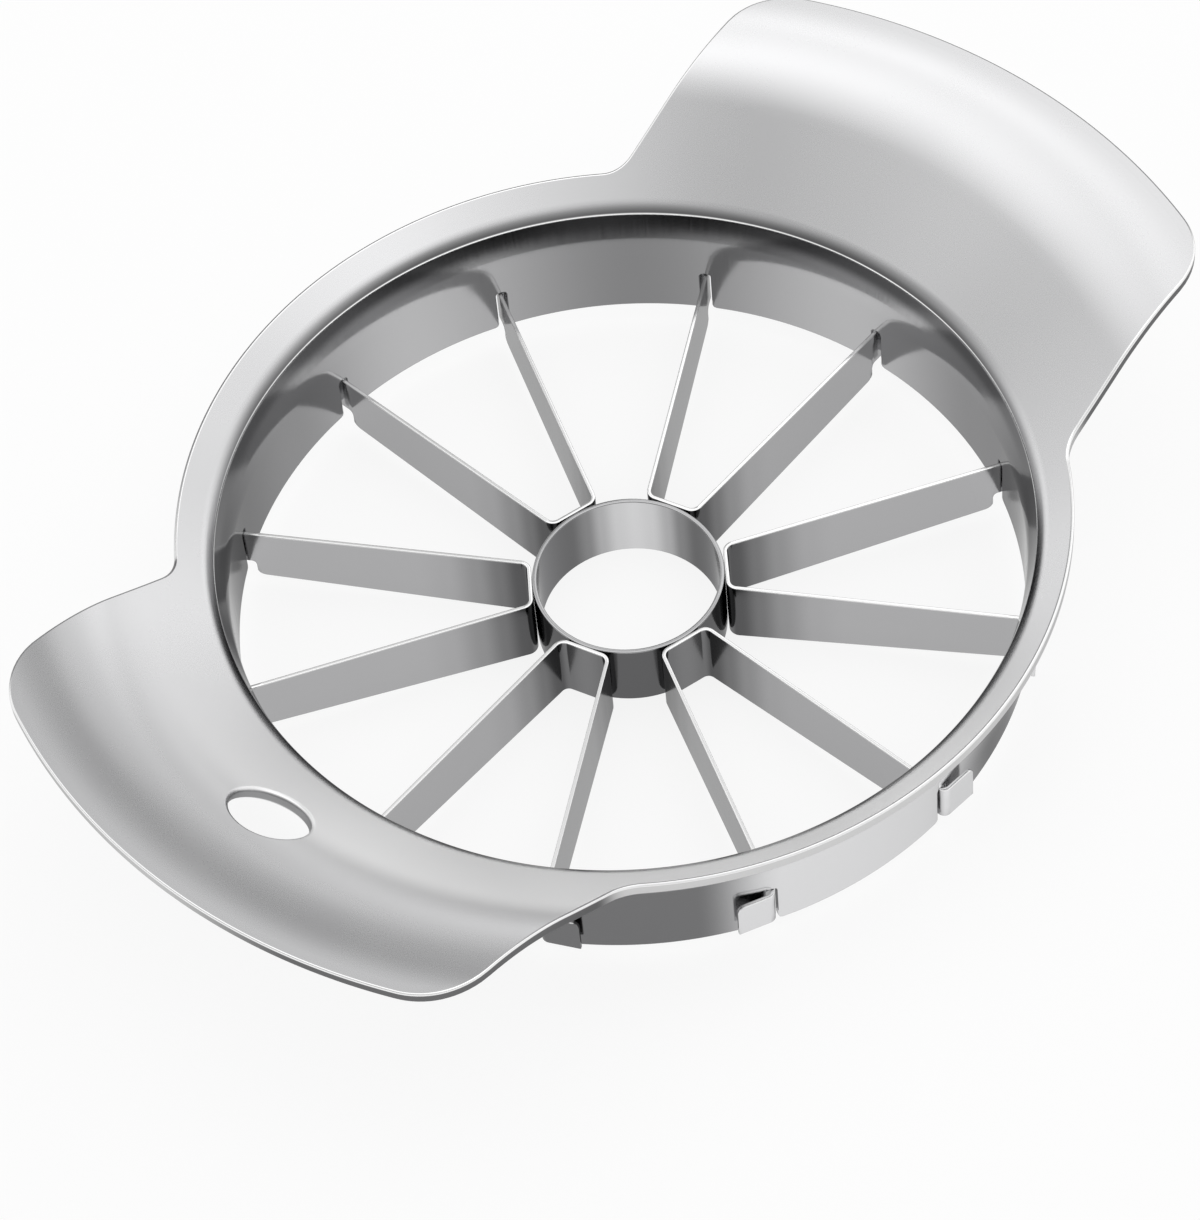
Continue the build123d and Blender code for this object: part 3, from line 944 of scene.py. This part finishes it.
# Polished stainless tube: nearly a mirror, with faint lines from drawing along its height; painted shade on
# its outer face, painted reflections inside by direction, and a painted highlight along its top edge
tubeLook = {  # in the units of pressedLook
    # painted shade on the outer face, and a painted highlight along the top edge
    "colours": {"tubeOutside": "636364", "tubeEdge": "B4B4B5"},
    "directions": {"fromInside": 38},
    "fades": {},
    # painted reflections on the inner face, by direction round the axis
    "inside": [(0.0, "D6D6D7"), (0.06, "CFCFD0"), (0.12, "B2B2B3"), (0.17, "8A8A8B"), (0.24, "6E6E6F"),
               (0.45, "88888A")],
    "fromMiddle": (-0.1, 0.1), "edgeBelowTop": (0.2, 0.1), "polished": 0.12,
    "lineAcross": 0.25, "lineAlong": 0.03,
    "bands": {"drawLines": ("lines", 0.30, -0.02, 0.03)},
}


def makeTubeSteel():
    look = tubeLook
    material, tree, shader, parts = startSteel("polishedStainlessTube", look)
    # painted reflections inside, by direction
    parts["inside"] = colourRamp(tree, parts["fromInside"], look["inside"])
    addLines(tree, parts, look["lineAcross"], look["lineAlong"])
    addBands(tree, parts, look["bands"])
    middle = coreRing["outerRadius"] - coreRing["wall"] / 2
    addRows(tree, parts, [
        # painted shade outside, painted reflections inside, and a painted highlight along the top edge
        ("outside", "evenFade", "reach", *(middle + away for away in look["fromMiddle"])),
        ("wall", "blend", "outside", "inside", "tubeOutside"),
        ("onEdge", "evenFade", "height", *(coreRing["height"] - below for below in look["edgeBelowTop"])),
        ("tube", "blend", "onEdge", "wall", "tubeEdge"),
        ("finish", "sum", "drawLines", look["polished"]),
    ])
    fillInputs(tree, shader, {"Base Color": parts["tube"], "Roughness": parts["finish"]})
    return material


pressedSheet.data.materials.append(makePressedSteel())
stripSteel, tubeSteel = makeStripSteel(), makeTubeSteel()
print("materials", [m.name for m in bpy.data.materials])

stripTree, stripKeys = bendStripTree()
for number in range(blade["count"]):
    strip = makeStrip(number, stripTree, stripKeys, stripSteel)
    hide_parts(f"blade_strip_{number + 1}")
    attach(strip, "root")
    print(strip.name, len(strip.data.polygons), "faces")
ring = makeCoreRing(tubeSteel)
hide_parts("core_ring")
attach(ring, "root")
print("core ring", len(ring.data.polygons), "faces")


# Camera
view = {  # mm and degrees, the camera about the collar's axis; clip is in metres
    "elevation": 53.39, "turn": -43.9, "distance": 579.78, "roll": -6.06,
    "sideways": -4.045, "forward": -15.501, "focal": 4714.449, "zeroHeight": 24.0,
    "pixelsWide": 1200, "sensor": 36.0, "clip": (0.01, 50),
}


def makeCamera():
    el, roll = math.radians(view["elevation"]), math.radians(view["roll"])
    side = Vector((1, 0, 0))
    ahead = Vector((0, math.cos(el), -math.sin(el)))
    up = side.cross(ahead)
    place = Vector((view["sideways"], view["forward"], 0)) - ahead * view["distance"]
    right = side * math.cos(roll) + up * math.sin(roll)
    above = up * math.cos(roll) - side * math.sin(roll)
    cameraData = bpy.data.cameras.new("camera")
    cameraData.sensor_fit = "HORIZONTAL"
    cameraData.sensor_width = view["sensor"]
    cameraData.lens = view["focal"] * view["sensor"] / view["pixelsWide"]
    cameraData.clip_start, cameraData.clip_end = view["clip"]
    camera = linked("camera", cameraData)
    pose = Matrix((right, above, -ahead)).transposed().to_4x4()
    pose.translation = (place + Vector((0, 0, view["zeroHeight"]))) * mm
    camera.matrix_world = Matrix.Rotation(math.radians(view["turn"]), 4, "Z") @ pose
    bpy.context.scene.camera = camera


makeCamera()
print("camera placed")


# Floor
floorLook = {"halfWidth": 4, "colour": "F4F4F4", "roughness": 0.9, "whiteShare": 0.86}  # metres and sRGB


def makeFloorPaint():
    # matt pale paint that keeps the shadow, lifted towards white for the camera and for reflections
    paint = bpy.data.materials.new("paleFloor")
    paint.use_nodes = True
    tree = paint.node_tree
    shader = tree.nodes["Principled BSDF"]
    fillInputs(tree, shader, {"Base Color": linearColor(floorLook["colour"]),
                              "Roughness": floorLook["roughness"]})
    rays = addNode(tree, "ShaderNodeLightPath").outputs
    parts = {name: rays[f"Is {name} Ray"] for name in ("Camera", "Glossy", "Transmission")}
    addRows(tree, parts, [
        ("mirrored", "larger", "Glossy", "Transmission"),
        ("seen", "larger", "Camera", "mirrored"),
        ("lift", "product", "seen", floorLook["whiteShare"]),
    ])
    white = addNode(tree, "ShaderNodeEmission", None, {"Color": (1, 1, 1, 1), "Strength": 1.0})
    lifted = addNode(tree, "ShaderNodeMixShader", None, {0: parts["lift"], 1: shader, 2: white})
    fillInputs(tree, tree.nodes["Material Output"], {"Surface": lifted})
    return paint


def makeFloor():
    half = floorLook["halfWidth"]
    corners = [(-half, -half, 0), (half, -half, 0), (half, half, 0), (-half, half, 0)]
    mesh = bpy.data.meshes.new("floor")
    mesh.from_pydata(corners, [], [(0, 1, 2, 3)])
    mesh.materials.append(makeFloorPaint())
    return linked("floor", mesh)


floor = makeFloor()
print("floor placed")


# Light
studio = {  # brightness where 1 is white; azimuth, elevation and sizes in degrees, places in mm
    "byHeight": [(0.0, 1.16), (0.15, 1.08), (0.35, 0.62), (0.55, 0.46), (0.75, 0.92), (1.0, 1.39)],
    "leastLevel": 0.03,
    "cards": [
        ("darkBack", 40, 38, 8, 26, -0.24),
        ("dimBack", 44, 54, 6, 24, -0.11),
        ("darkLeft", 150, 42, 8, 26, -0.07),
        ("brightTop", 104, 64, 12, 36, 0.32),
        ("lowRight", -10, 22, 8, 30, 0.47),
        ("lowLeft", 95, 20, 8, 30, 0.29),
        ("lowBack", 50, 14, 6, 24, 0.32),
        ("dimLeft", 165, 62, 8, 26, -0.32),
        ("dimFront", -155, 60, 8, 26, -0.24),
        ("highRight", 60, 64, 8, 22, -0.15),
        ("right", -50, 48, 10, 34, 0.39),
    ],
    "softboxPlace": (213, 104, 222), "softboxSize": (160, 160), "softboxLevel": 0.65,
}


def directionTo(azimuth, elevation):
    a, e = math.radians(azimuth), math.radians(elevation)
    return (math.cos(e) * math.cos(a), math.cos(e) * math.sin(a), math.sin(e))


def makeWorld():
    # a studio tent by direction: brightness by height, with soft bright and dark cards
    world = bpy.data.worlds.new("studio")
    world.use_nodes = True
    bpy.context.scene.world = world
    tree = world.node_tree
    parts = {"way": addNode(tree, "ShaderNodeTexCoord").outputs["Generated"]}
    height = addNode(tree, "ShaderNodeSeparateXYZ", None, {0: parts["way"]}).outputs["Z"]
    levels = [(place, (level, level, level, 1)) for place, level in studio["byHeight"]]
    parts["total"] = fillRamp(addNode(tree, "ShaderNodeValToRGB", None, {0: height}), levels, "LINEAR")
    for label, azimuth, elevation, inner, outer, level in studio["cards"]:
        limits = (math.cos(math.radians(outer)), math.cos(math.radians(inner)))
        addRows(tree, parts, [
            ("facing", "towards", "way", directionTo(azimuth, elevation)),
            ("share", "fade", "facing", *limits),
            (label, "product", "share", level),
            ("total", "sum", "total", label),
        ])
    addRows(tree, parts, [("lit", "larger", "total", studio["leastLevel"])])
    fillInputs(tree, tree.nodes["Background"], {"Color": parts["lit"]})


def makeSoftbox():
    width, depth = (size * mm for size in studio["softboxSize"])
    lamp = bpy.data.lights.new("softbox", "AREA")
    lamp.shape, lamp.size, lamp.size_y = "RECTANGLE", width, depth
    lamp.energy = studio["softboxLevel"] * math.pi * width * depth
    softbox = linked("softbox", lamp)
    softbox.location = Vector(studio["softboxPlace"]) * mm
    softbox.rotation_euler = softbox.location.to_track_quat("Z", "Y").to_euler()


makeWorld()
makeSoftbox()
print("light placed, with", len(studio["cards"]), "cards")

bpy.context.scene.view_settings.view_transform = "Standard"
